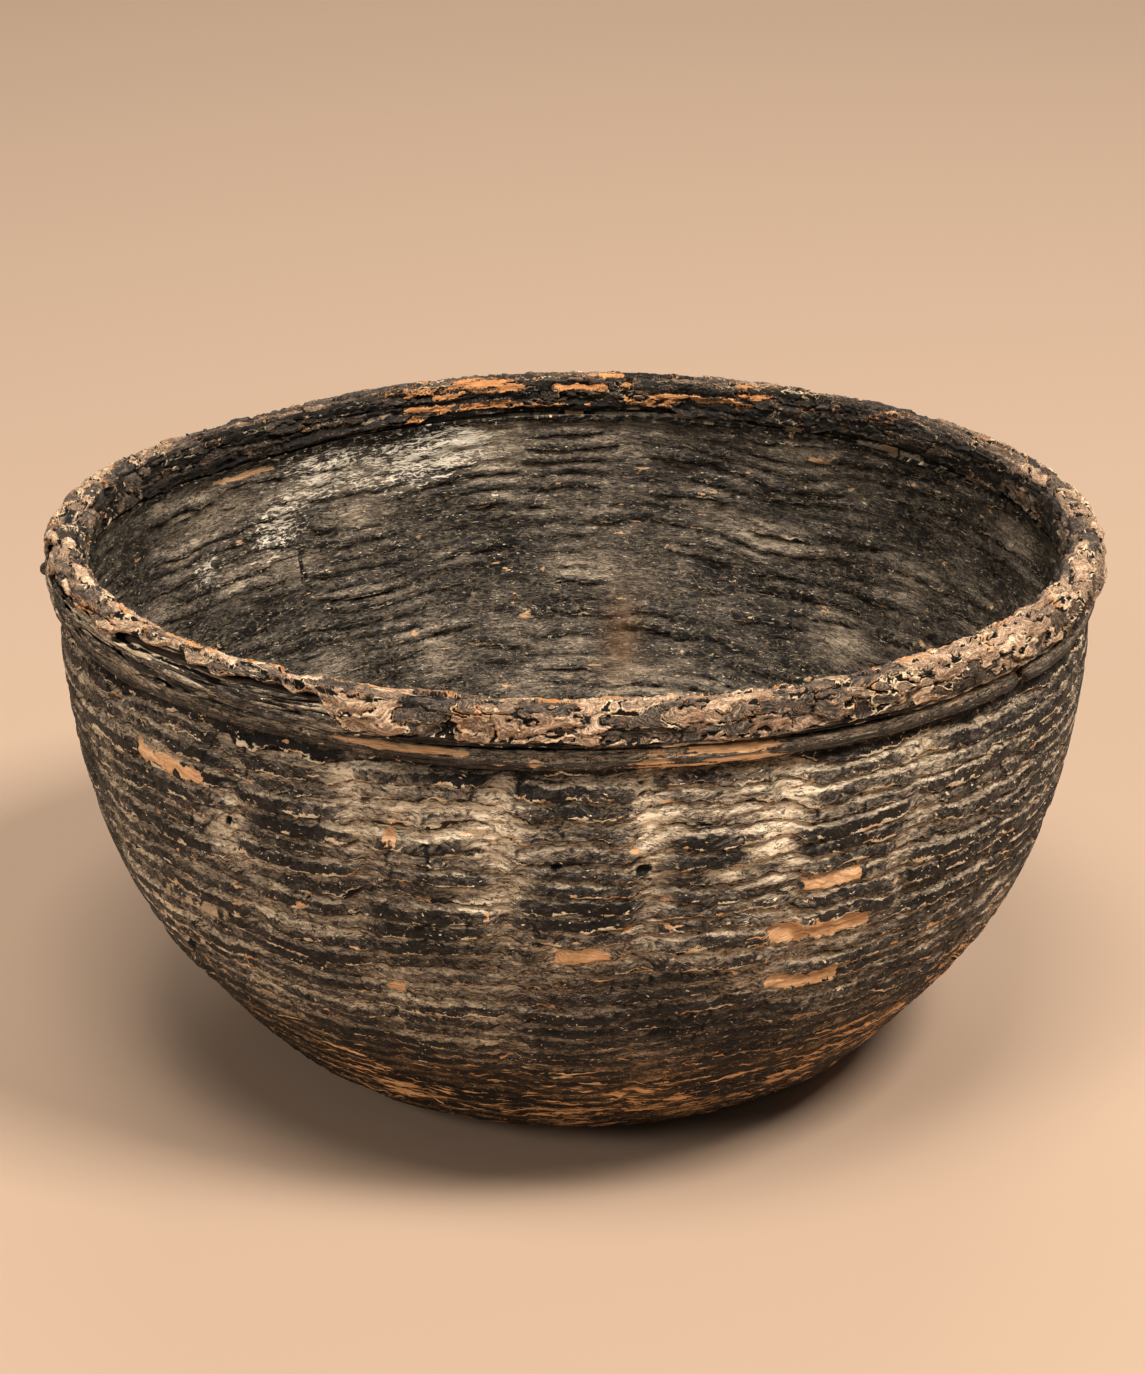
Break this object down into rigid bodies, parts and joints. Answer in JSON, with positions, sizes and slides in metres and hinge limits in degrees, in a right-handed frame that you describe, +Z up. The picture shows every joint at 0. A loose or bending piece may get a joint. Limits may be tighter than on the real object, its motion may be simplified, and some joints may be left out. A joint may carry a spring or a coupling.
{
  "type": "deep bowl",
  "caption": "Deep round woven cane bowl under a dark cracked lacquer coat, with a thick rolled rim and a small flat foot.",
  "frame": {"origin": "middle of the flat underside of the foot", "axes": "+Z up, along the bowl's axis; -Y is the side that faces the viewer"},
  "size_m": [0.3394, 0.3394, 0.1778],
  "materials": {
    "coat": "black-brown lacquer over woven cane, dusty and cracked",
    "inner_coat": "charcoal lacquer over woven cane, with grey dust and pale residue",
    "cane": "split cane, dry",
    "worn_cane": "bare orange-tan cane where the lacquer has worn away",
    "rim_bark": "grey-brown bark-like skin, cracked and curling"
  },
  "bodies": {
    "root": {"foot_disc": "coat", "base_hub": "cane", "course_01": "coat", "course_02": "coat", "course_03": "coat", "course_04": "coat", "course_05": "coat", "course_06": "coat", "course_07": "coat", "course_08": "coat", "course_09": "coat", "course_10": "coat", "course_11": "coat", "course_12": "coat", "course_13": "coat", "course_14": "coat", "course_15": "coat", "course_16": "coat", "stake_01": "cane", "stake_02": "cane", "stake_03": "cane", "stake_04": "cane", "stake_05": "cane", "stake_06": "cane", "stake_07": "cane", "stake_08": "cane", "stake_09": "cane", "stake_10": "cane", "stake_11": "cane", "stake_12": "cane", "stake_13": "cane", "stake_14": "cane", "stake_15": "cane", "stake_16": "cane", "stake_17": "cane", "stake_18": "cane", "stake_19": "cane", "stake_20": "cane", "stake_21": "cane", "stake_22": "cane", "stake_23": "cane", "stake_24": "cane", "inner_wall": "inner_coat", "rim_strand_1": "coat", "rim_strand_2": "coat", "rim_strand_3": "coat", "rim_strand_4": "coat", "rim_strand_5": "coat", "rim_inner_hoop": "cane", "rim_skin": "rim_bark", "rim_skin_worn": "rim_bark", "rim_edge_cane": "worn_cane"}
  },
  "joints": []
}
